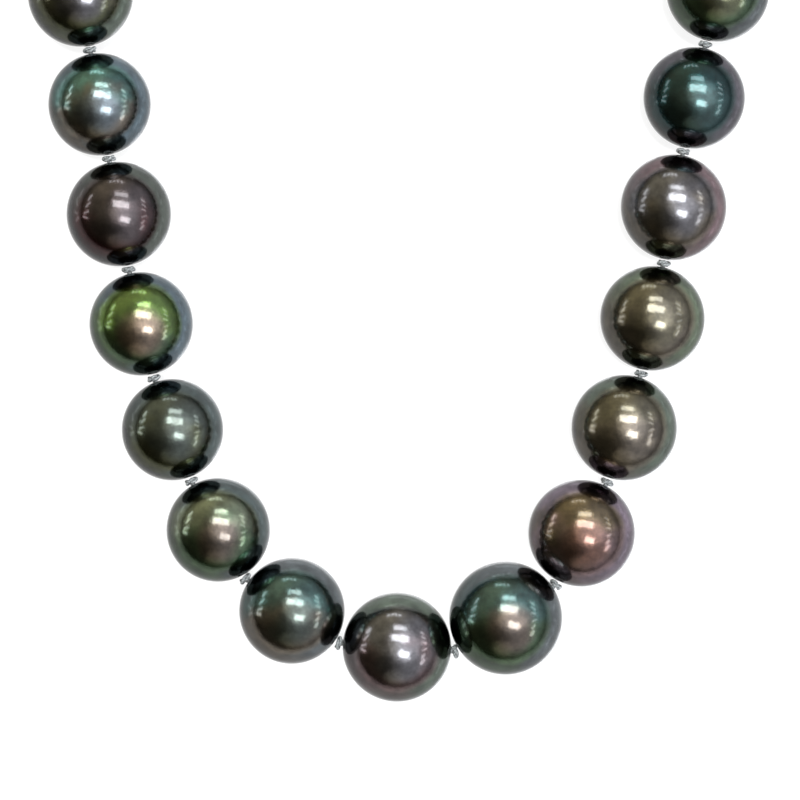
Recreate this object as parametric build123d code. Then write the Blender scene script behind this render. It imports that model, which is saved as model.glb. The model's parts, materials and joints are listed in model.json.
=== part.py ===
from build123d import *
import os
from collections import namedtuple
from math import acos, cos, degrees, radians, sin

# Knotted strand of 41 dark round pearls with an undone ball clasp.
# It lies on a table: +Z is up, the centre pearl is at the front (-Y), and the
# two arms run back (+Y) to the clasp halves. Every pearl touches z = 0.
# Lengths are in millimetres and angles in degrees.

# Pearls, numbered outwards from the centre pearl.
CENTER_DIAMETER = 10.6
FRONT_DIAMETERS = {
    "left": [10.3, 10.1, 9.9, 10.1, 10.2, 10.0, 10.3],
    "right": [11.0, 10.4, 10.3, 10.2, 10.3, 9.9, 10.1],
}
BACK_START_DIAMETER = 10.0
BACK_END_DIAMETER = 9.0
PEARLS_PER_SIDE = 20
HOLE_RADIUS = 0.45

# Silk: one knot fills the gap after every pearl.
KNOT_GAP = 0.78
THREAD_RADIUS = 0.35
KNOT_RADIUS = 0.49
KNOT_LENGTH = 0.58
KNOT_ROUNDING = 0.27
THREAD_RECESS = 0.5
THREAD_REACH = 0.195

# The curve that the strand lies in: how far each front pearl's hole turns
# from straight across towards straight back, then a steady turn a pearl.
CENTER_TILT = -4.0
FRONT_HEADINGS = {
    "left": [34.5, 61.0, 70.0, 77.0, 80.0, 80.0, 80.5],
    "right": [33.5, 63.5, 72.5, 78.5, 80.0, 78.5, 77.0],
}
BACK_TURN = 1.4

# Loop of coiled wire over the silk, beside the last pearl of each arm.
BULLION_RADIUS = 0.4
BULLION_START = 0.05
BULLION_FOOT = 0.42
BULLION_LENGTH = 2.45
BULLION_HALF_WIDTH = 1.25
BULLION_BEND = 0.82

# Rings of the two clasp halves.
RING_RADIUS = 1.35
RING_WIRE_RADIUS = 0.35
RING_CLEARANCE = 0.1

# Ball half of the clasp.
BALL_RADIUS = 4.5
BALL_WALL = 0.45
SLOT_WIDTH = 3.6
SLOT_HEIGHT = 1.5
KEYWAY_WIDTH = 1.3
KEYWAY_HEIGHT = 3.1
KEYWAY_START = 2.7
CATCH_PLACE = 2.1
CATCH_RADIUS = 3.3
CATCH_THICKNESS = 0.4
WINDOW_MARGIN = 0.4

# Tongue half of the clasp.
COLLAR_RADIUS = 1.9
COLLAR_LENGTH = 0.8
TONGUE_LENGTH = 6.5
TONGUE_WIDTH = 3.2
TONGUE_THICKNESS = 0.35
TONGUE_DROP = 0.5
TONGUE_CORNER = 1.1
LEAF_LENGTH = 5.6
LEAF_WIDTH = 2.8
LEAF_THICKNESS = 0.3
LEAF_SET_BACK = 0.35
LEAF_HEIGHT = 0.1
LEAF_SLOPE = 12.0
TAB_POST = 0.9
TAB_HEIGHT = 1.3
TAB_HEAD_RADIUS = 0.95
TAB_HEAD_HEIGHT = 0.6
TONGUE_SAG = 24.0

# Places along the line of an arm's end, from the mouth of its last pearl.
# Each ring hangs in its loop and is sunk into the clasp half that it holds.
RING_SINK = 0.1
RING_PLACE = BULLION_LENGTH - BULLION_RADIUS - RING_CLEARANCE - RING_WIRE_RADIUS + RING_RADIUS
RING_PIN = RING_PLACE - RING_RADIUS
RING_END = RING_PLACE + RING_RADIUS + RING_WIRE_RADIUS
BALL_PLACE = RING_END - RING_SINK + BALL_RADIUS
COLLAR_START = RING_END - RING_SINK
TONGUE_START = COLLAR_START + COLLAR_LENGTH
TONGUE_TIP = TONGUE_START + TONGUE_LENGTH
LEAF_AXIS = TONGUE_TIP - LEAF_SET_BACK

# How far each joint moves.
KNOT_SWING = 15.0
KNOT_LIFT = 9.0
CONTACT_MARGIN = 2.0
BALL_SWING = 30.0
TONGUE_LIFT = 45.0
LEAF_PRESS = 8.0

SIDES = {"left": -1, "right": 1}

Bead = namedtuple("Bead", "name side center angle radius")
Knot = namedtuple("Knot", "point angle bend")
Hinge = namedtuple("Hinge", "name parent child point axis low high")


def bead_diameter(side, number):
    """Diameter of a pearl: the front ones one by one, the back ones graded."""
    front = FRONT_DIAMETERS[side]
    if number <= len(front):
        return front[number - 1]
    step = (number - len(front)) / (PEARLS_PER_SIDE - len(front))
    return BACK_START_DIAMETER - step * (BACK_START_DIAMETER - BACK_END_DIAMETER)


def outward_angle(side, number):
    """Heading of a pearl's hole, away from the centre pearl, about +Z from +X."""
    front = FRONT_HEADINGS[side]
    if number == 0:
        sweep = SIDES[side] * CENTER_TILT
    elif number <= len(front):
        sweep = front[number - 1]
    else:
        sweep = front[-1] + BACK_TURN * (number - len(front))
    return sweep if SIDES[side] > 0 else 180 - sweep


def heading(angle):
    """Unit vector in the table's plane."""
    return Vector(cos(radians(angle)), sin(radians(angle)), 0)


def lay_arm(side):
    """Beads and knots of one arm, from the centre pearl outwards."""
    angle = outward_angle(side, 0)
    radius = CENTER_DIAMETER / 2
    place = Vector(0, 0, 0)
    beads = []
    knots = []
    for number in range(1, PEARLS_PER_SIDE + 1):
        next_angle = outward_angle(side, number)
        next_radius = bead_diameter(side, number) / 2
        joint = place + heading(angle) * (radius + KNOT_GAP / 2)
        height = (radius + next_radius) / 2
        bend = abs(next_angle - angle)
        point = Vector(joint.X, joint.Y, height)
        knots.append(Knot(point, (angle + next_angle) / 2, bend))
        place = joint + heading(next_angle) * (next_radius + KNOT_GAP / 2)
        angle = next_angle
        radius = next_radius
        center = Vector(place.X, place.Y, radius)
        name = f"pearl_{side}_{number:02d}"
        beads.append(Bead(name, side, center, angle, radius))
    return beads, knots


def drilled_pearl(bead):
    """One round pearl with its hole along the thread."""
    hole = Cylinder(HOLE_RADIUS, 3 * bead.radius, rotation=(0, 90, 0))
    shape = Sphere(bead.radius) - hole
    return Location(bead.center, (0, 0, bead.angle)) * shape


def silk_knot(knot):
    """Rounded knot that fills the gap between two pearls."""
    barrel = Cylinder(KNOT_RADIUS, KNOT_LENGTH, rotation=(0, 90, 0))
    barrel = fillet(barrel.edges().filter_by(GeomType.CIRCLE), KNOT_ROUNDING)
    return Location(knot.point, (0, 0, knot.angle)) * barrel


def silk_thread(bead, start, end):
    """Thread inside a pearl, between two places along its hole."""
    rod = Cylinder(THREAD_RADIUS, end - start, rotation=(0, 90, 0))
    rod = Location(((start + end) / 2, 0, 0)) * rod
    return Location(bead.center, (0, 0, bead.angle)) * rod


def bullion_loop():
    """Teardrop loop of covered thread, in the table's plane, feet at x = 0."""
    corners = [
        (BULLION_START, BULLION_FOOT, 0),
        (BULLION_LENGTH, BULLION_HALF_WIDTH, 0),
        (BULLION_LENGTH, -BULLION_HALF_WIDTH, 0),
        (BULLION_START, -BULLION_FOOT, 0),
    ]
    path = FilletPolyline(*corners, radius=BULLION_BEND)
    section = Plane(origin=path @ 0, z_dir=path % 0) * Circle(BULLION_RADIUS)
    return sweep(section, path=path)


def clasp_ring():
    """Upright ring that links a clasp half to the bullion loop."""
    ring = Torus(RING_RADIUS, RING_WIRE_RADIUS, rotation=(90, 0, 0))
    return Location((RING_PLACE, 0, 0)) * ring


def clasp_ball():
    """Hollow ball with a slot for the tongue and a keyway for its thumb tab."""
    shell = Sphere(BALL_RADIUS) - Sphere(BALL_RADIUS - BALL_WALL)
    slot = Location((BALL_RADIUS, 0, 0)) * Box(BALL_RADIUS, SLOT_WIDTH, SLOT_HEIGHT)
    keyway = Box(BALL_RADIUS, KEYWAY_WIDTH, KEYWAY_HEIGHT, align=(Align.MIN, Align.CENTER, Align.MIN))
    keyway = Location((KEYWAY_START, 0, 0)) * keyway
    return Location((BALL_PLACE, 0, 0)) * (shell - slot - keyway)


def clasp_catch_plate():
    """Plate inside the ball that the tongue springs behind."""
    plate = Cylinder(CATCH_RADIUS, CATCH_THICKNESS, rotation=(0, 90, 0))
    window = Box(2 * CATCH_THICKNESS, SLOT_WIDTH + WINDOW_MARGIN, SLOT_HEIGHT + WINDOW_MARGIN)
    return Location((BALL_PLACE + CATCH_PLACE, 0, 0)) * (plate - window)


def tongue_collar():
    """Round end plate of the tongue half."""
    disc = Cylinder(COLLAR_RADIUS, COLLAR_LENGTH, rotation=(0, 90, 0))
    disc = fillet(disc.edges().filter_by(GeomType.CIRCLE), COLLAR_LENGTH / 4)
    return Location((COLLAR_START + COLLAR_LENGTH / 2, 0, 0)) * disc


def tongue_plate():
    """Lower half of the folded tongue, with rounded corners at its tip."""
    plate = Box(TONGUE_LENGTH, TONGUE_WIDTH, TONGUE_THICKNESS, align=(Align.MIN, Align.CENTER, Align.MIN))
    corners = plate.edges().filter_by(Axis.Z).group_by(Axis.X)[-1]
    plate = fillet(corners, TONGUE_CORNER)
    return Location((TONGUE_START, 0, -TONGUE_DROP)) * plate


def on_leaf(shape):
    """Place a shape drawn from the fold back along -X on the sloping leaf."""
    return Location((LEAF_AXIS, 0, LEAF_HEIGHT), (0, LEAF_SLOPE, 0)) * shape


def tongue_spring_leaf():
    """Upper half of the folded tongue, which the thumb presses down."""
    leaf = Box(LEAF_LENGTH, LEAF_WIDTH, LEAF_THICKNESS, align=(Align.MAX, Align.CENTER, Align.CENTER))
    corners = leaf.edges().filter_by(Axis.Z).group_by(Axis.X)[-1]
    return on_leaf(fillet(corners, TONGUE_CORNER / 2))


def tongue_thumb_tab():
    """Post and round head that stand on the back of the leaf."""
    bottom = (Align.CENTER, Align.CENTER, Align.MIN)
    post = Box(TAB_POST, TAB_POST, TAB_HEIGHT, align=bottom)
    head = Cylinder(TAB_HEAD_RADIUS, TAB_HEAD_HEIGHT, align=bottom)
    head = fillet(head.edges().filter_by(GeomType.CIRCLE), TAB_HEAD_HEIGHT / 3)
    tab = post + Location((0, 0, TAB_HEIGHT)) * head
    back = TAB_HEAD_RADIUS - LEAF_LENGTH
    return on_leaf(Location((back, 0, LEAF_THICKNESS / 2)) * tab)


def sagging(shape):
    """Tip the tongue half down on its bullion loop until it nears the table."""
    pivot = Location((BULLION_LENGTH, 0, 0))
    return pivot * Rotation(0, TONGUE_SAG, 0) * pivot.inverse() * shape


def end_place(bead):
    """Frame at the outer mouth of a last pearl's hole, +X away from it."""
    mouth = bead.center + heading(bead.angle) * bead.radius
    return Location(mouth, (0, 0, bead.angle))


def build_nodes(arms):
    """Every node of the necklace by name."""
    center_radius = CENTER_DIAMETER / 2
    center_place = Vector(0, 0, center_radius)
    center = Bead("pearl_center", "right", center_place, CENTER_TILT, center_radius)
    reach = center.radius + KNOT_GAP / 2
    first_knots = [silk_knot(knots[0]) for beads, knots in arms.values()]
    nodes = {
        "pearl_center": drilled_pearl(center),
        "silk_center": silk_thread(center, -reach, reach) + first_knots[0] + first_knots[1],
    }
    for side, (beads, knots) in arms.items():
        for bead, knot in zip(beads, knots[1:]):
            thread = silk_thread(bead, THREAD_RECESS - bead.radius, bead.radius + THREAD_REACH)
            silk = thread + silk_knot(knot)
            nodes[bead.name] = Compound(children=[drilled_pearl(bead), silk])
        last = beads[-1]
        nodes[last.name] = drilled_pearl(last)
        silk_end = silk_thread(last, THREAD_RECESS - last.radius, last.radius - BULLION_START)
        nodes[f"silk_end_{side}"] = silk_end
        nodes[f"bullion_{side}"] = end_place(last) * bullion_loop()
    ball_end = end_place(arms["right"][0][-1])
    nodes["clasp_ball_ring"] = ball_end * clasp_ring()
    nodes["clasp_ball"] = ball_end * clasp_ball()
    nodes["clasp_catch_plate"] = ball_end * clasp_catch_plate()
    tongue_end = end_place(arms["left"][0][-1])
    tongue_pieces = {
        "tongue_ring": clasp_ring(),
        "tongue_collar": tongue_collar(),
        "tongue_plate": tongue_plate(),
        "tongue_spring_leaf": tongue_spring_leaf(),
        "tongue_thumb_tab": tongue_thumb_tab(),
    }
    for name, piece in tongue_pieces.items():
        nodes[name] = tongue_end * sagging(piece)
    return nodes


def contact_bend(inner_radius, outer_radius):
    """Bend at which two neighbouring pearls touch across their knot."""
    inner = inner_radius + KNOT_GAP / 2
    outer = outer_radius + KNOT_GAP / 2
    reach = inner_radius + outer_radius
    return degrees(acos((reach**2 - inner**2 - outer**2) / (2 * inner * outer)))


def knot_hinges(side, beads, knots):
    """One hinge a knot: odd ones bend in the table's plane, even ones lift."""
    hinges = []
    parent = "pearl_center"
    inner_radius = CENTER_DIAMETER / 2
    for number, (bead, knot) in enumerate(zip(beads, knots), start=1):
        if number % 2 == 0:
            forward = heading(knot.angle)
            axis = Vector(forward.Y, -forward.X, 0)
            low, high = 0, KNOT_LIFT
        else:
            spare = contact_bend(inner_radius, bead.radius) - knot.bend - CONTACT_MARGIN
            tighten = min(KNOT_SWING, spare)
            flip = 1 if number % 4 == 1 else -1
            axis = Vector(0, 0, SIDES[side] * flip)
            low, high = (-KNOT_SWING, tighten) if flip > 0 else (-tighten, KNOT_SWING)
        name = f"knot_{side}_{number:02d}"
        hinges.append(Hinge(name, parent, bead.name, knot.point, axis, low, high))
        parent = bead.name
        inner_radius = bead.radius
    return hinges


def clasp_hinges(arms):
    """Hinges of the two clasp halves on their loops, and of the tongue's leaf."""
    ball_bead = arms["right"][0][-1]
    pin = ball_bead.center + heading(ball_bead.angle) * (ball_bead.radius + RING_PIN)
    up = Vector(0, 0, 1)
    tongue_bead = arms["left"][0][-1]
    forward = heading(tongue_bead.angle)
    lift_axis = Vector(forward.Y, -forward.X, 0)
    loop = tongue_bead.center + forward * (tongue_bead.radius + BULLION_LENGTH)
    slope = sagging(Location((LEAF_AXIS, 0, LEAF_HEIGHT)))
    fold = (end_place(tongue_bead) * slope).position
    return [
        Hinge("clasp_ball_swing", ball_bead.name, "clasp_ball", pin, up, -BALL_SWING, BALL_SWING),
        Hinge("clasp_tongue_lift", tongue_bead.name, "clasp_tongue", loop, lift_axis, 0, TONGUE_LIFT),
        Hinge("tongue_leaf_press", "clasp_tongue", "tongue_leaf", fold, lift_axis, 0, LEAF_PRESS),
    ]


arms = {side: lay_arm(side) for side in SIDES}
nodes = build_nodes(arms)
boxes = [shape.bounding_box() for shape in nodes.values()]
middle_x = (min(box.min.X for box in boxes) + max(box.max.X for box in boxes)) / 2
middle_y = (min(box.min.Y for box in boxes) + max(box.max.Y for box in boxes)) / 2
offset = Vector(-middle_x, -middle_y, 0)
hinges = [hinge for side in SIDES for hinge in knot_hinges(side, *arms[side])] + clasp_hinges(arms)

os.makedirs("parts", exist_ok=True)
for name, shape in nodes.items():
    export_step(Location(offset) * shape, f"parts/{name}.step")
print("origin offset", offset, "nodes", len(nodes), "hinges", len(hinges))
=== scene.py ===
import json
import random
from math import asin, cos, pi, radians, sin, sqrt, tan, tau

import bmesh
import bpy
from mathutils import Matrix, Quaternion, Vector, noise


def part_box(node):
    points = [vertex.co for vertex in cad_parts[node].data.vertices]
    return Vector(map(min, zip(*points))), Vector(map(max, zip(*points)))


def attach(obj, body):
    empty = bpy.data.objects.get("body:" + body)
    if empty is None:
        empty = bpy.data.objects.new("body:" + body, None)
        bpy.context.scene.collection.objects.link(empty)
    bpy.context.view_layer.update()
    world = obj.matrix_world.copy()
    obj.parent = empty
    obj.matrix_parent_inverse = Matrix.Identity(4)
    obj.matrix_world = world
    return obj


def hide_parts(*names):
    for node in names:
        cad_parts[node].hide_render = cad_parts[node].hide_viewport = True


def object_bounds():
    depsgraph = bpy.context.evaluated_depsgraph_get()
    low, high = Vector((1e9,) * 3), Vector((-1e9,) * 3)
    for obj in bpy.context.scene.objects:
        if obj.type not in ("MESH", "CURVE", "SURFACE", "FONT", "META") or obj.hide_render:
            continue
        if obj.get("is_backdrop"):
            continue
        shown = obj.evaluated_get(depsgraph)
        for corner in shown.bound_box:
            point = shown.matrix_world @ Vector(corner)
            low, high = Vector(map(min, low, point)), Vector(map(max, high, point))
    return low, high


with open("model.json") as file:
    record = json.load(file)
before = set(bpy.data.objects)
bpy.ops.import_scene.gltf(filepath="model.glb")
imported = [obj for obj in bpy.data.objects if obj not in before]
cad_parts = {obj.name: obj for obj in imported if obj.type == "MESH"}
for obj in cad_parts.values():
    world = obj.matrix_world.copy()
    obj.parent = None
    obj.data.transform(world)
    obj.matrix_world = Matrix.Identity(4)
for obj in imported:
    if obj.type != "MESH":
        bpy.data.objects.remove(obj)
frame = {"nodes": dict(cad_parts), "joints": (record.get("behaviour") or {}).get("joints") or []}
cad_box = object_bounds()

# ---- driving values, in metres and radians unless a comment says otherwise ----
MM = 0.001
UP = Vector((0, 0, 1))
SIDES = ("left", "right")
PEARLS_PER_SIDE = 20
SEED = 9

# Pearl: its drill hole, the rounding of the hole's mouths, and how far its skin strays from round.
HOLE_RADIUS = 0.45 * MM
LIP_RADIUS = 0.10 * MM
HOLE_DEPTHS = (0.05 * MM, 0.16 * MM, 0.4 * MM, 1.2 * MM)
PEARL_RINGS = 72
PEARL_AROUND = 96
BROAD_SWELL = 0.004
BROAD_SCALE = 0.9
FINE_SWELL = 0.0008
FINE_SCALE = 3.1
MOST_SWELL = 0.003
SWELL_SHIFT = 50

# Silk: a thread of three plies, and the overhand knot tied from a finer strand of the same.
THREAD_RADIUS = 0.26 * MM
THREAD_LAY = 1.6 * MM
THREAD_STEPS = 40
THREAD_RECESS = 0.5 * MM
THREAD_GAP_SHARE = 1 / 3
STRAND_RADIUS = 0.145 * MM
PLY_COUNT = 3
PLY_OFFSET = 0.5
PLY_SIZE = 0.56
PLY_AROUND = 6
PLY_TWISTS = 22
KNOT_LOBE_RADIUS = 0.44 * MM
KNOT_LOBE_SPREAD = 0.14 * MM
KNOT_HALF_LENGTH = 0.15 * MM
KNOT_STEPS = 168

# Bullion: the teardrop loop beyond each end pearl, and the fine wire coiled round it.
LOOP_START = 0.03 * MM
LOOP_FOOT = 0.42 * MM
LOOP_LENGTH = 2.45 * MM
LOOP_HALF_WIDTH = 1.25 * MM
LOOP_BEND = 0.82 * MM
BEND_STEPS = 14
COIL_RADIUS = 0.32 * MM
COIL_WIRE_RADIUS = 0.075 * MM
COIL_PITCH = 0.155 * MM
COIL_STEPS = 16
CORE_SIZE = 0.8
CORE_AROUND = 10

# Clasp: softened edges, and the rounded fold between the tongue and its spring leaf.
EDGE_SOFTNESS = 0.05 * MM
SHARP_TURN = radians(35)
WELD = 0.0001 * MM
FOLD_RADIUS = 0.27 * MM
FOLD_HALF_WIDTH = 0.85 * MM
FOLD_SHOULDER = 0.96
FOLD_TAPER = 0.8
FOLD_AROUND = 20
CLASP_BODIES = {
    "clasp_ball": "clasp_ball",
    "clasp_catch_plate": "clasp_ball",
    "tongue_collar": "clasp_tongue",
    "tongue_plate": "clasp_tongue",
    "tongue_spring_leaf": "tongue_leaf",
    "tongue_thumb_tab": "tongue_leaf",
}

# Nacre, on a pearl of radius 1. An edge is where one tone gives way to the next: across the face
# from front to back, round the heart, and down from the face to the waist. The waist is dimmed by
# a painted shade, deepest on the side turned towards the room's dim side, where it also takes the
# face's tones. A drift is how far the clouds shift an edge.
CLOUD_SHIFT = 20
CLOUD_SCALE = 1.6
DRIFT = 1.1
FACE_EDGE = (-0.45, 0.4)
FACE_DRIFT = 1.6
HEART_WAY = (0.05, -0.20, 0.98)
HEART_EDGE = (0.84, 0.98)
HEART_DRIFT = 0.12
WAIST_EDGE = (0.74, 0.54)
WAIST_DRIFT = 0.12
# Painted shade on the waist: the way its shaded side faces, that side's edge and drift, and how far the
# waist is dimmed across it.
PAINTED_SHADE_WAY = (-0.80, -0.55, 0.0)
PAINTED_SHADE_EDGE = (-0.05, 0.75)
PAINTED_SHADE_DRIFT = 1.2
PAINTED_SHADE_SPAN = (-0.45, 0.85)
WAIST_PAINTED_SHADE = (0.70, 0.32)
PATCH_SCALE = 3.4
PATCH_SPAN = (0.36, 0.62)
PATCH_DEPTH = (0.70, 1.26)
SPECKLE_SCALE = 34.0
SPECKLE_EDGE = (0.62, 0.85)
SPECKLE_LIFT = 1.5
RIPPLE_SCALE = 9.0
RIPPLE_DEPTH = 0.2 * MM
SATIN = (0.15, 0.20)

# Silk and white gold: their two tones, and how fine their fibres and wear marks are.
NOISE_SPAN = (0.3, 0.7)
SILK_TONES = ((0.12, 0.13, 0.13), (0.58, 0.60, 0.59))
FIBRE_SCALE = 9000.0
GOLD_TONES = ((0.60, 0.585, 0.56), (0.72, 0.705, 0.68))
CLASP_POLISH = 0.10
CLASP_WEAR_SCALE = 900.0
WIRE_POLISH = 0.22
WIRE_WEAR_SCALE = 1500.0
WEAR_EDGE = (0.35, 0.65)
WEAR_ROUGHNESS = 0.12

# Studio: the floor, the lamps' distance and colour, and the camera's place over the strand.
# The sensor's width is in millimetres, as Blender takes it.
FLOOR_SIZE = 8.0
FLOOR_GLOW = 0.92
FLOOR_SHADE = 0.2
LAMP_DISTANCE = 1.1
LAMP_COLOUR = (0.95, 1.0, 1.05)
STRAND_FRONT = 30 * MM
VIEW_WIDTH = 78 * MM
VIEW_DISTANCE = 0.5
VIEW_SHIFT = Vector((0.29, 24.1)) * MM
SENSOR_WIDTH = 36.0

# ---- colours of nacre: how much light each overtone throws back ----
OVERTONES = {
    "ink": (0.015, 0.045, 0.045),
    "midnight": (0.030, 0.065, 0.065),
    "deep_teal": (0.045, 0.085, 0.080),
    "dusk_blue": (0.075, 0.105, 0.105),
    "haze_blue": (0.110, 0.130, 0.140),
    "steel": (0.095, 0.140, 0.170),
    "violet_grey": (0.105, 0.095, 0.120),
    "lilac": (0.210, 0.160, 0.210),
    "rose": (0.205, 0.130, 0.145),
    "blush": (0.190, 0.125, 0.125),
    "mauve": (0.150, 0.100, 0.100),
    "plum_grey": (0.075, 0.060, 0.060),
    "aubergine": (0.065, 0.025, 0.025),
    "silver": (0.125, 0.120, 0.125),
    "taupe": (0.155, 0.130, 0.100),
    "mushroom": (0.135, 0.120, 0.080),
    "cinnamon": (0.165, 0.085, 0.060),
    "bronze": (0.140, 0.105, 0.060),
    "chestnut": (0.120, 0.095, 0.075),
    "copper": (0.190, 0.140, 0.100),
    "dark_olive": (0.085, 0.090, 0.045),
    "olive": (0.120, 0.125, 0.070),
    "moss": (0.115, 0.185, 0.045),
    "pistachio": (0.165, 0.190, 0.125),
    "leaf": (0.080, 0.130, 0.070),
    "sage": (0.110, 0.145, 0.110),
    "pale_sage": (0.125, 0.165, 0.105),
    "shadow_sage": (0.075, 0.090, 0.075),
    "sea_green": (0.065, 0.120, 0.110),
    "jade": (0.085, 0.190, 0.170),
}

# Back edge, front edge, heart and waist of each pearl's face, from the centre outwards.
CENTER_LOOK = ("silver", "mauve", "silver", "sage")
FRONT_LOOKS = {
    "left": [
        ("sea_green", "taupe", "shadow_sage", "haze_blue"),
        ("pistachio", "leaf", "chestnut", "dusk_blue"),
        ("shadow_sage", "dark_olive", "shadow_sage", "dusk_blue"),
        ("moss", "leaf", "copper", "steel"),
        ("plum_grey", "aubergine", "plum_grey", "shadow_sage"),
        ("jade", "taupe", "haze_blue", "steel"),
        ("mushroom", "dark_olive", "silver", "sage"),
    ],
    "right": [
        ("sea_green", "leaf", "chestnut", "haze_blue"),
        ("bronze", "blush", "cinnamon", "lilac"),
        ("mushroom", "taupe", "taupe", "sage"),
        ("mushroom", "taupe", "mushroom", "pale_sage"),
        ("silver", "taupe", "silver", "rose"),
        ("ink", "midnight", "deep_teal", "violet_grey"),
        ("sea_green", "leaf", "olive", "haze_blue"),
    ],
}
BACK_LOOKS = [
    ("leaf", "chestnut", "taupe", "sage"),
    ("midnight", "deep_teal", "sea_green", "violet_grey"),
    ("pistachio", "copper", "olive", "steel"),
    ("plum_grey", "aubergine", "mauve", "shadow_sage"),
    ("bronze", "blush", "taupe", "rose"),
    ("silver", "mauve", "silver", "haze_blue"),
]

# Lamps, by where every pearl mirrors them: offset across and along the view, width and height,
# all in pearl radii, then tilt in degrees and glow. First the three softboxes over the strand,
# then the strips to its left, to its right and behind it.
LAMPS = [
    (0.06, 0.365, 0.25, 0.08, -6, 5.5),
    (0.06, 0.175, 0.33, 0.13, -8, 8.0),
    (0.14, -0.125, 0.19, 0.11, -14, 8.5),
    (-0.53, 0.30, 0.13, 0.03, 55, 3.5),
    (-0.57, 0.17, 0.13, 0.03, 45, 3.5),
    (-0.60, 0.03, 0.10, 0.035, 20, 3.5),
    (-0.62, -0.06, 0.10, 0.035, -20, 3.5),
    (0.47, 0.26, 0.10, 0.03, -35, 3.6),
    (0.49, 0.17, 0.10, 0.03, -35, 3.6),
    (0.49, 0.08, 0.10, 0.03, -20, 3.6),
    (0.50, -0.05, 0.10, 0.03, 20, 3.6),
    (0.48, -0.16, 0.10, 0.04, 45, 3.6),
    (0.46, -0.27, 0.12, 0.045, 55, 3.8),
    (-0.16, 0.60, 0.05, 0.03, 70, 4.0),
    (-0.09, 0.61, 0.05, 0.03, 60, 4.0),
    (-0.02, 0.61, 0.05, 0.03, 110, 4.0),
    (0.05, 0.60, 0.05, 0.03, 120, 4.0),
]


# ---- places, all from the frame ----
JOINTS = {joint["name"]: joint for joint in frame["joints"]}


def middle(node):
    low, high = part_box(node)
    return (Vector(low) + Vector(high)) / 2


def pivot(name):
    return Vector(JOINTS[name]["pos_m"])


def knot_place(side, number):
    return pivot(f"knot_{side}_{number:02d}")


def pearl_node(side, number):
    """A pearl's node, which is also its body; number 0 is the centre pearl on either side."""
    return "pearl_center" if number == 0 else f"pearl_{side}_{number:02d}"


def pearl_radius(side, number):
    """Half a pearl's height: its box is longer than the pearl, because it also holds the silk."""
    low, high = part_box(pearl_node(side, number))
    return (high[2] - low[2]) / 2


def pearl_axis(side, number):
    """Unit direction of a pearl's hole, away from the centre pearl."""
    if number == 0:
        step = knot_place("right", 1) - knot_place("left", 1)
        step = step if side == "right" else -step
    elif number < PEARLS_PER_SIDE:
        step = knot_place(side, number + 1) - knot_place(side, number)
    else:
        end = pivot("clasp_ball_swing" if side == "right" else "clasp_tongue_lift")
        step = end - knot_place(side, number)
    step.z = 0
    return step.normalized()


def knot_gap():
    """Clear length between two pearls, from the knots at the centre pearl's two ends."""
    apart = knot_place("right", 1) - knot_place("left", 1)
    return apart.to_2d().length - 2 * pearl_radius("right", 0)


KNOT_GAP = knot_gap()


def pearl_centre(side, number):
    """Middle of a pearl, half a gap and a radius beyond the knot before it."""
    if number == 0:
        return middle(pearl_node(side, number))
    radius = pearl_radius(side, number)
    place = knot_place(side, number) + pearl_axis(side, number) * (radius + KNOT_GAP / 2)
    place.z = radius
    return place


def knot_heading(side, number):
    """The thread's direction half way round the bend at a knot."""
    inner = pearl_axis(side, number - 1)
    return (inner + pearl_axis(side, number)).normalized()


# ---- mesh helpers ----
def mesh_piece(name, vertices, faces, material):
    mesh = bpy.data.meshes.new(name)
    mesh.from_pydata([tuple(v) for v in vertices], [], faces)
    mesh.validate()
    mesh.shade_smooth()
    mesh.materials.append(material)
    piece = bpy.data.objects.new(name, mesh)
    bpy.context.scene.collection.objects.link(piece)
    return piece


def grid_faces(rings, around, closed=False):
    """Quads between rings of points; a closed grid joins the last ring to the first."""
    faces = []
    for i in range(rings if closed else rings - 1):
        low = i * around
        high = ((i + 1) % rings) * around
        for j in range(around):
            k = (j + 1) % around
            faces.append((low + j, low + k, high + k, high + j))
    return faces


def frames_along(path, closed=False):
    """Each point of a path with two directions across it, which don't spin about the path."""
    count = len(path)
    across = None
    for i, point in enumerate(path):
        ahead = path[(i + 1) % count] if closed or i + 1 < count else path[i]
        behind = path[i - 1] if closed or i > 0 else path[i]
        forward = (ahead - behind).normalized()
        if across is None:
            across = forward.orthogonal().normalized()
        across = (across - forward * across.dot(forward)).normalized()
        yield point, across, forward.cross(across)


def tube(path, radii, around, closed=False):
    """Vertices and faces of a tube along a path, with one radius or one for each point."""
    count = len(path)
    sizes = radii if isinstance(radii, list) else [radii] * count
    vertices = []
    for size, (point, across, other) in zip(sizes, frames_along(path, closed)):
        for j in range(around):
            turn = tau * j / around
            vertices.append(point + (across * cos(turn) + other * sin(turn)) * size)
    faces = grid_faces(count, around, closed)
    if not closed:
        faces.append(tuple(reversed(range(around))))
        faces.append(tuple(range((count - 1) * around, count * around)))
    return vertices, faces


def merged(parts):
    """One list of vertices and faces from several."""
    vertices, faces = [], []
    for part_vertices, part_faces in parts:
        base = len(vertices)
        vertices += part_vertices
        faces += [tuple(base + k for k in face) for face in part_faces]
    return vertices, faces


def twisted(path, radius, twists, closed=False):
    """Plies wound round a path, as one set of vertices and faces."""
    parts = []
    for ply in range(PLY_COUNT):
        points = []
        for i, (point, across, other) in enumerate(frames_along(path, closed)):
            turn = tau * (ply / PLY_COUNT + twists * i / len(path))
            points.append(point + (across * cos(turn) + other * sin(turn)) * radius * PLY_OFFSET)
        parts.append(tube(points, radius * PLY_SIZE, PLY_AROUND, closed))
    return merged(parts)


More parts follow.
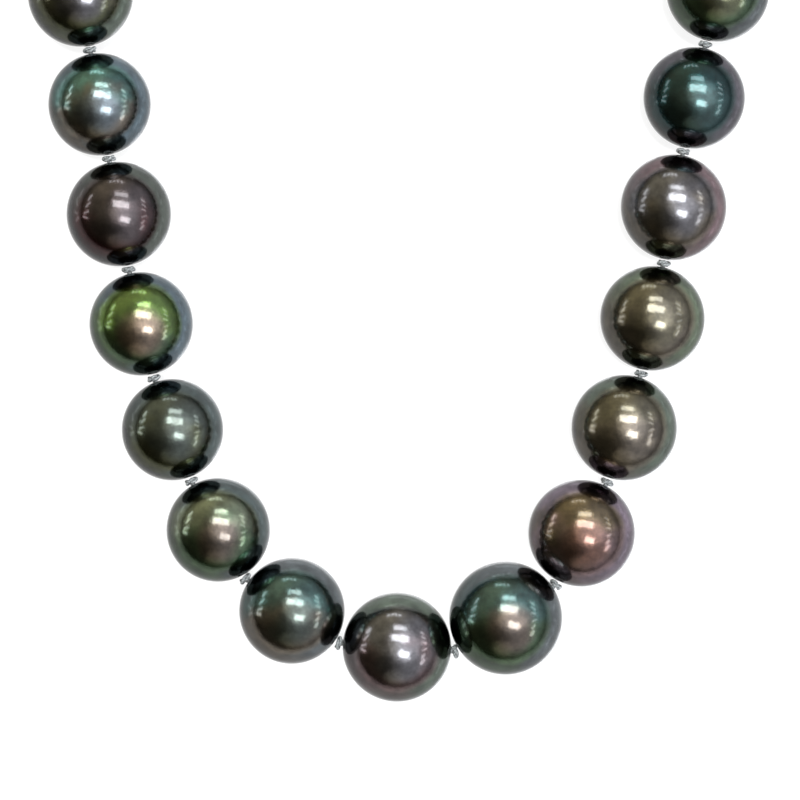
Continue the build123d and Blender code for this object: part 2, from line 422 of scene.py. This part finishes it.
def rounded_path(corners, radius, steps):
    """Open path through corners with each inner corner rounded by an arc."""
    path = [corners[0]]
    for before, corner, after in zip(corners, corners[1:], corners[2:]):
        inward = (before - corner).normalized()
        outward = (after - corner).normalized()
        half = inward.angle(outward) / 2
        centre = corner + (inward + outward).normalized() * (radius / sin(half))
        start = corner + inward * (radius / tan(half)) - centre
        end = corner + outward * (radius / tan(half)) - centre
        sweep = start.angle(end)
        normal = start.cross(end).normalized()
        for i in range(steps + 1):
            path.append(centre + Quaternion(normal, sweep * i / steps) @ start)
    path.append(corners[-1])
    return path


def evenly(path, spacing):
    """The same path again with points at an even spacing."""
    points = [path[0].copy()]
    carried = 0.0
    for start, end in zip(path, path[1:]):
        length = (end - start).length
        place = spacing - carried
        while place <= length:
            points.append(start.lerp(end, place / length))
            place += spacing
        carried = length - (place - spacing)
    return points


# ---- node helpers ----
def new_material(name):
    material = bpy.data.materials.new(name)
    material.use_nodes = True
    tree = material.node_tree
    return material, tree, tree.nodes["Principled BSDF"]


def add(tree, kind, **values):
    """Node with its properties and inputs set; inputs take a value or a socket."""
    node = tree.nodes.new(kind)
    for key, value in values.items():
        if hasattr(node, key) and not key.startswith("in_"):
            setattr(node, key, value)
            continue
        socket = node.inputs[int(key[3:])] if key.startswith("in_") else node.inputs[key]
        if isinstance(value, bpy.types.NodeSocket):
            tree.links.new(value, socket)
        else:
            socket.default_value = value
    return node


def mix(tree, factor, first, second):
    """Colour mix of two colours or sockets."""
    node = tree.nodes.new("ShaderNodeMix")
    node.data_type = "RGBA"
    tree.links.new(factor, node.inputs[0])
    for socket, value in ((node.inputs[6], first), (node.inputs[7], second)):
        if isinstance(value, bpy.types.NodeSocket):
            tree.links.new(value, socket)
        else:
            socket.default_value = (*value, 1)
    return node.outputs[2]


def spread(tree, value, source, target, kind="LINEAR"):
    """Map one range of a value to another."""
    node = add(tree, "ShaderNodeMapRange", interpolation_type=kind, in_0=value)
    for index, limit in enumerate((*source, *target), start=1):
        node.inputs[index].default_value = limit
    return node.outputs[0]


def ramp(tree, value, edge):
    """Smooth step from 0 to 1 across an edge."""
    return spread(tree, value, edge, (0, 1), "SMOOTHSTEP")


def plus_part(tree, value, other, amount):
    """A value plus an amount of another."""
    node = add(tree, "ShaderNodeMath", operation="MULTIPLY_ADD", in_0=other, in_1=amount, in_2=value)
    return node.outputs[0]


def toward(tree, place, way):
    """Cosine of the angle between a direction and a fixed way."""
    return add(tree, "ShaderNodeVectorMath", operation="DOT_PRODUCT", in_0=place, in_1=way).outputs["Value"]


def scaled(tree, colour, amount):
    return add(tree, "ShaderNodeVectorMath", operation="SCALE", in_0=colour, Scale=amount).outputs[0]


def texture(tree, place, scale, detail, roughness=0.5):
    """Cloudy noise, mostly between 0.3 and 0.7."""
    values = {"Vector": place, "Scale": scale, "Detail": detail, "Roughness": roughness}
    return add(tree, "ShaderNodeTexNoise", **values).outputs[0]


def set_bump(tree, shader, height, strength, distance):
    bump = add(tree, "ShaderNodeBump", Strength=strength, Distance=distance, Height=height)
    tree.links.new(bump.outputs[0], shader.inputs["Normal"])


def set_shader(shader, **values):
    """Constants on the shader's own sockets; an underscore stands for a space."""
    for key, value in values.items():
        shader.inputs[key.replace("_", " ")].default_value = value


# ---- materials ----
def nacre_colour(tree, unit, moved, cloud, look):
    """Overtones of one pearl: its face, its heart and its waist, which drift into each other; the waist
    carries a painted shade.
    """
    back, front, heart, waist = (OVERTONES[tone] for tone in look)
    drift = plus_part(tree, -DRIFT / 2, cloud, DRIFT)
    apart = add(tree, "ShaderNodeSeparateXYZ", in_0=unit)
    along = plus_part(tree, apart.outputs[1], drift, FACE_DRIFT)
    near_heart = plus_part(tree, toward(tree, unit, HEART_WAY), drift, HEART_DRIFT)
    near_painted_shade = plus_part(tree, toward(tree, unit, PAINTED_SHADE_WAY), drift, PAINTED_SHADE_DRIFT)
    height = plus_part(tree, apart.outputs[2], drift, WAIST_DRIFT)
    face = mix(tree, ramp(tree, along, FACE_EDGE), front, back)
    face = mix(tree, ramp(tree, near_heart, HEART_EDGE), face, heart)
    # painted shade: on its side towards the room's dim side the waist takes the face's tones and is dimmed
    belt = mix(tree, ramp(tree, near_painted_shade, PAINTED_SHADE_EDGE), waist, face)
    belt = scaled(tree, belt, spread(tree, near_painted_shade, PAINTED_SHADE_SPAN, WAIST_PAINTED_SHADE))
    colour = mix(tree, ramp(tree, height, WAIST_EDGE), face, belt)
    patches = texture(tree, moved, PATCH_SCALE, detail=4.0, roughness=0.6)
    colour = scaled(tree, colour, spread(tree, patches, PATCH_SPAN, PATCH_DEPTH))
    speckle = texture(tree, moved, SPECKLE_SCALE, detail=3.0)
    bright = tuple(SPECKLE_LIFT * channel for channel in heart)
    return mix(tree, ramp(tree, speckle, SPECKLE_EDGE), colour, bright)


def nacre(name, look, rng):
    """Dark nacre: a satin glow under a clear skin."""
    material, tree, shader = new_material(name)
    place = add(tree, "ShaderNodeTexCoord").outputs["Object"]
    unit = add(tree, "ShaderNodeVectorMath", operation="NORMALIZE", in_0=place).outputs[0]
    shift = tuple(rng.uniform(-CLOUD_SHIFT, CLOUD_SHIFT) for _ in range(3))
    moved = add(tree, "ShaderNodeVectorMath", operation="ADD", in_0=unit, in_1=shift).outputs[0]
    cloud = texture(tree, moved, CLOUD_SCALE, detail=2.0)
    tree.links.new(nacre_colour(tree, unit, moved, cloud, look), shader.inputs["Base Color"])
    tree.links.new(spread(tree, cloud, NOISE_SPAN, SATIN), shader.inputs["Roughness"])
    ripple = texture(tree, moved, RIPPLE_SCALE, detail=4.0)
    set_bump(tree, shader, ripple, strength=0.10, distance=RIPPLE_DEPTH)
    set_shader(shader, Metallic=1.0, Specular_Tint=(0.35, 0.35, 0.35, 1))
    set_shader(shader, Coat_Weight=0.65, Coat_Roughness=0.06, Coat_IOR=1.5)
    return material


def silk_material():
    """Grey silk: fine fibres along the thread, with a soft sheen."""
    material, tree, shader = new_material("silk")
    place = add(tree, "ShaderNodeTexCoord").outputs["Object"]
    fibre = texture(tree, place, FIBRE_SCALE, detail=2.0)
    colour = mix(tree, ramp(tree, fibre, NOISE_SPAN), *SILK_TONES)
    tree.links.new(colour, shader.inputs["Base Color"])
    set_bump(tree, shader, fibre, strength=0.5, distance=0.03 * MM)
    set_shader(shader, Roughness=0.45, Sheen_Weight=0.25, Sheen_Roughness=0.4)
    return material


def gold_material(name, polish, scale):
    """White gold with faint wear marks."""
    material, tree, shader = new_material(name)
    place = add(tree, "ShaderNodeTexCoord").outputs["Object"]
    wear = texture(tree, place, scale, detail=6.0, roughness=0.7)
    colour = mix(tree, ramp(tree, wear, WEAR_EDGE), *GOLD_TONES)
    tree.links.new(colour, shader.inputs["Base Color"])
    rough = spread(tree, wear, NOISE_SPAN, (polish, polish + WEAR_ROUGHNESS))
    tree.links.new(rough, shader.inputs["Roughness"])
    set_bump(tree, shader, wear, strength=0.08, distance=0.02 * MM)
    set_shader(shader, Metallic=1.0)
    return material


# ---- pearls ----
def pearl_profile(radius):
    """Half outline of a drilled pearl: distance along the hole, distance out, and if it is skin."""
    mouth = asin((HOLE_RADIUS + LIP_RADIUS) / radius)
    skin = []
    for step in range(PEARL_RINGS + 1):
        polar = mouth + (pi - 2 * mouth) * step / PEARL_RINGS
        skin.append((radius * cos(polar), radius * sin(polar), True))
    inner = [(radius * cos(mouth) - depth, HOLE_RADIUS, False) for depth in HOLE_DEPTHS]
    return inner[::-1] + skin + [(-along, out, False) for along, out, _ in inner]


def pearl_shape(radius, axis, rng):
    """Slightly off-round drilled pearl about its own middle, with softened hole mouths."""
    across = UP.cross(axis).normalized()
    shift = Vector([rng.uniform(-SWELL_SHIFT, SWELL_SHIFT) for _ in range(3)])
    profile = pearl_profile(radius)
    vertices = []
    for along, out, skin in profile:
        for j in range(PEARL_AROUND):
            turn = tau * j / PEARL_AROUND
            point = axis * along + (across * cos(turn) + UP * sin(turn)) * out
            if skin:
                way = point.normalized()
                swell = noise.noise(way * BROAD_SCALE + shift) * BROAD_SWELL
                swell += noise.noise(way * FINE_SCALE + shift) * FINE_SWELL
                point = point * (1 + min(swell, MOST_SWELL))
            vertices.append(point)
    return vertices, grid_faces(len(profile), PEARL_AROUND)


def make_pearl(side, number, look, rng):
    """One pearl with a nacre of its own, in the CAD pearl's place."""
    node = pearl_node(side, number)
    material = nacre(f"nacre_{node}", look, rng)
    vertices, faces = pearl_shape(pearl_radius(side, number), pearl_axis(side, number), rng)
    piece = mesh_piece(f"nacre_{node}", vertices, faces, material)
    piece.location = pearl_centre(side, number)
    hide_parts(node)
    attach(piece, node)


# ---- knotted silk ----
def overhand_knot(place, axis, roll):
    """Tightened overhand knot about the thread, as a closed trefoil of twisted silk."""
    side = axis.orthogonal().normalized()
    other = axis.cross(side)
    path = []
    for i in range(KNOT_STEPS):
        t = tau * i / KNOT_STEPS
        out = KNOT_LOBE_RADIUS + KNOT_LOBE_SPREAD * cos(3 * t)
        turn = 2 * t + roll
        point = (side * cos(turn) + other * sin(turn)) * out + axis * (KNOT_HALF_LENGTH * sin(3 * t))
        path.append(place + point)
    return twisted(path, STRAND_RADIUS, PLY_TWISTS, closed=True)


def straight_thread(start, end):
    """Twisted silk along a pearl's hole."""
    path = [start.lerp(end, i / THREAD_STEPS) for i in range(THREAD_STEPS + 1)]
    return twisted(path, THREAD_RADIUS, (end - start).length / THREAD_LAY)


def make_silk(side, number, silk, rng):
    """Silk inside a pearl and the knot beyond it; the centre pearl has a knot at each end."""
    node = pearl_node(side, number)
    axis = pearl_axis(side, number)
    centre = pearl_centre(side, number)
    reach = pearl_radius(side, number)
    start = THREAD_RECESS - reach
    end = reach + KNOT_GAP * THREAD_GAP_SHARE
    knots = [(side, number + 1)]
    if number == 0:
        start = -end
        knots = [("left", 1), ("right", 1)]
    elif number == PEARLS_PER_SIDE:
        end = reach
        knots = []
    parts = [straight_thread(centre + axis * start, centre + axis * end)]
    for knot in knots:
        parts.append(overhand_knot(knot_place(*knot), knot_heading(*knot), rng.uniform(0, tau)))
    piece = mesh_piece(f"silk_{node}", *merged(parts), silk)
    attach(piece, node)
    if number == 0:
        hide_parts("silk_center")
    elif number == PEARLS_PER_SIDE:
        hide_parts(f"silk_end_{side}")


def make_strand(silk):
    """All pearls and their silk: the centre pearl, then the left arm, then the right arm."""
    rng = random.Random(SEED)
    make_pearl("right", 0, CENTER_LOOK, rng)
    make_silk("right", 0, silk, rng)
    for side in SIDES:
        looks = FRONT_LOOKS[side]
        for number in range(1, PEARLS_PER_SIDE + 1):
            look = looks[number - 1] if number <= len(looks) else rng.choice(BACK_LOOKS)
            make_pearl(side, number, look, rng)
            make_silk(side, number, silk, rng)


# ---- bullion ----
def loop_path(side):
    """Middle line of the teardrop loop, at the coil's even steps."""
    forward = pearl_axis(side, PEARLS_PER_SIDE)
    across = Vector((-forward.y, forward.x, 0))
    mouth = pearl_centre(side, PEARLS_PER_SIDE) + forward * pearl_radius(side, PEARLS_PER_SIDE)
    flat = [(LOOP_START, LOOP_FOOT), (LOOP_LENGTH, LOOP_HALF_WIDTH)]
    flat += [(along, -out) for along, out in reversed(flat)]
    corners = [mouth + forward * along + across * out for along, out in flat]
    return evenly(rounded_path(corners, LOOP_BEND, BEND_STEPS), COIL_PITCH / COIL_STEPS)


def make_bullion(side, wire, silk):
    """Coil of fine wire along the teardrop loop, with the silk inside it."""
    path = loop_path(side)
    coil = []
    for i, point in enumerate(path):
        ahead = path[min(i + 1, len(path) - 1)] - path[max(i - 1, 0)]
        out = UP.cross(ahead).normalized()
        turn = tau * i / COIL_STEPS
        coil.append(point + (out * cos(turn) + UP * sin(turn)) * COIL_RADIUS)
    piece = mesh_piece(f"coil_{side}", *tube(coil, COIL_WIRE_RADIUS, PLY_AROUND), wire)
    body = pearl_node(side, PEARLS_PER_SIDE)
    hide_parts(f"bullion_{side}")
    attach(piece, body)
    core = mesh_piece(f"core_{side}", *tube(path[::COIL_STEPS], COIL_RADIUS * CORE_SIZE, CORE_AROUND), silk)
    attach(core, body)


# ---- clasp ----
def gild_nodes(metal):
    """Give every CAD node of the clasp and the loops its metal."""
    for name, node in frame["nodes"].items():
        if name.startswith(("clasp_", "tongue_", "bullion_")):
            node.data.materials.clear()
            node.data.materials.append(metal)


def soften_edges(node, body, metal):
    """The same metal piece with its sharp edges rounded off."""
    source = frame["nodes"][node]
    shape = bmesh.new()
    shape.from_mesh(source.data)
    shape.transform(source.matrix_world)
    bmesh.ops.remove_doubles(shape, verts=shape.verts, dist=WELD)
    sharp = [edge for edge in shape.edges if edge.calc_face_angle(0) > SHARP_TURN]
    bmesh.ops.bevel(shape, geom=sharp, offset=EDGE_SOFTNESS, segments=3, profile=0.5, affect="EDGES")
    mesh = bpy.data.meshes.new(f"soft_{node}")
    shape.to_mesh(mesh)
    shape.free()
    mesh.shade_smooth()
    mesh.set_sharp_from_angle(angle=SHARP_TURN)
    mesh.materials.append(metal)
    piece = bpy.data.objects.new(f"soft_{node}", mesh)
    bpy.context.scene.collection.objects.link(piece)
    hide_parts(node)
    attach(piece, body)


def make_fold(metal):
    """Rounded fold that joins the leaf to the tongue."""
    axis = Vector(JOINTS["tongue_leaf_press"]["axis"]).normalized()
    place = pivot("tongue_leaf_press")
    ends = (-1, -FOLD_SHOULDER, FOLD_SHOULDER, 1)
    path = [place + axis * FOLD_HALF_WIDTH * end for end in ends]
    radii = [FOLD_RADIUS * size for size in (FOLD_TAPER, 1, 1, FOLD_TAPER)]
    piece = mesh_piece("tongue_fold", *tube(path, radii, FOLD_AROUND), metal)
    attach(piece, "clasp_tongue")


def make_clasp(metal):
    gild_nodes(metal)
    bpy.context.view_layer.update()
    for node, body in CLASP_BODIES.items():
        soften_edges(node, body, metal)
    make_fold(metal)


# ---- floor, lamps, room and camera ----
def make_floor():
    """Plain pale floor that glows evenly, with a clear skin that dims its glow at low angles."""
    bpy.ops.mesh.primitive_plane_add(size=FLOOR_SIZE)
    floor = bpy.context.object
    floor.name = "floor"
    material, _, shader = new_material("floor")
    set_shader(shader, Base_Color=(FLOOR_SHADE, FLOOR_SHADE, FLOOR_SHADE, 1), Roughness=0.9)
    set_shader(shader, Specular_IOR_Level=0.0, Coat_Weight=1.0, Coat_Roughness=0.08, Coat_IOR=1.8)
    set_shader(shader, Emission_Color=(1, 1, 1, 1), Emission_Strength=FLOOR_GLOW)
    floor.data.materials.append(material)
    floor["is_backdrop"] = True


def seen_way(across, along):
    """Direction that a pearl seen from above mirrors at an offset in pearl radii."""
    facing = sqrt(1 - across**2 - along**2)
    return Vector((2 * facing * across, 2 * facing * along, 2 * facing**2 - 1))


def make_lamp(name, target, across, along, width, height, tilt, glow):
    """Lamp that every pearl mirrors at the given offset, size and tilt."""
    turn = radians(tilt)
    way = seen_way(across, along)
    small = 0.01
    wide = (seen_way(across + cos(turn) * small, along + sin(turn) * small) - way) / small
    tall = (seen_way(across - sin(turn) * small, along + cos(turn) * small) - way) / small
    lamp = bpy.data.lights.new(name, "AREA")
    lamp.shape = "RECTANGLE"
    lamp.size = LAMP_DISTANCE * wide.length * width
    lamp.size_y = LAMP_DISTANCE * tall.length * height
    lamp.energy = glow * pi * lamp.size * lamp.size_y
    lamp.color = LAMP_COLOUR
    holder = bpy.data.objects.new(name, lamp)
    axis_x = (wide - way * wide.dot(way)).normalized()
    holder.matrix_world = Matrix((axis_x, way.cross(axis_x), way)).transposed().to_4x4()
    holder.location = target + way * LAMP_DISTANCE
    holder.visible_camera = False
    bpy.context.scene.collection.objects.link(holder)


def make_lamps():
    target = middle("pearl_center") + Vector((0, STRAND_FRONT, 0))
    for index, lamp in enumerate(LAMPS):
        make_lamp(f"lamp_{index:02d}", target, *lamp)


# The room's soft glow, field by field: how it joins the fields before it, the way it faces, the
# cosines between which it turns from its far strength to its near strength, and those strengths.
ROOM_FIELDS = [
    ("ADD", (0.9, -0.43, 0), (-0.15, 0.8), (0.42, 0.80)),
    ("ADD", (0, 1, 0), (0.3, 0.95), (0.0, 0.35)),
    ("ADD", seen_way(0.15, 0.06), (cos(radians(42)), 1.0), (0.0, 1.7)),
    ("MULTIPLY", (-0.62, -0.72, 0.3), (0.4, 0.98), (1.0, 0.15)),
    ("ADD", seen_way(-0.02, -0.53), (cos(radians(24)), cos(radians(8))), (0.0, 0.35)),
    ("MULTIPLY", (0, 0, 1), (-0.04, 0.32), (0.25, 1.0)),
]
COOL_WAY = (0.9, -0.1, 0.43)
COOL_EDGE = (-0.2, 0.7)
WARM_GLOW = (1.0, 0.93, 0.68)
COOL_GLOW = (0.97, 1.0, 1.08)


def make_room():
    """Soft glow round the strand: bright to one side, warm and dim to the other."""
    world = bpy.data.worlds.new("room")
    world.use_nodes = True
    tree = world.node_tree
    look = add(tree, "ShaderNodeTexCoord").outputs["Generated"]
    glow = 0.0
    for operation, way, edge, strengths in ROOM_FIELDS:
        field = spread(tree, toward(tree, look, way), edge, strengths, "SMOOTHSTEP")
        glow = add(tree, "ShaderNodeMath", operation=operation, in_0=glow, in_1=field).outputs[0]
    coolness = ramp(tree, toward(tree, look, COOL_WAY), COOL_EDGE)
    background = tree.nodes["Background"]
    tree.links.new(mix(tree, coolness, WARM_GLOW, COOL_GLOW), background.inputs["Color"])
    tree.links.new(glow, background.inputs["Strength"])
    bpy.context.scene.world = world


def make_camera():
    """Camera straight above the visible arc, looking down."""
    lens = bpy.data.cameras.new("camera")
    lens.sensor_width = SENSOR_WIDTH
    lens.lens = SENSOR_WIDTH * VIEW_DISTANCE / VIEW_WIDTH
    camera = bpy.data.objects.new("camera", lens)
    bpy.context.scene.collection.objects.link(camera)
    camera.location = middle("pearl_center") + Vector((*VIEW_SHIFT, VIEW_DISTANCE))
    bpy.context.scene.camera = camera


# ---- the whole scene ----
silk = silk_material()
make_strand(silk)
wire = gold_material("bullion_wire", WIRE_POLISH, WIRE_WEAR_SCALE)
for side in SIDES:
    make_bullion(side, wire, silk)
make_clasp(gold_material("white_gold", CLASP_POLISH, CLASP_WEAR_SCALE))
make_floor()
make_lamps()
make_room()
make_camera()
bpy.context.scene.view_settings.view_transform = "Standard"

boxes = {"cad": cad_box, "visual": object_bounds()}
{key: [list(corner) for corner in box] for key, box in boxes.items()}
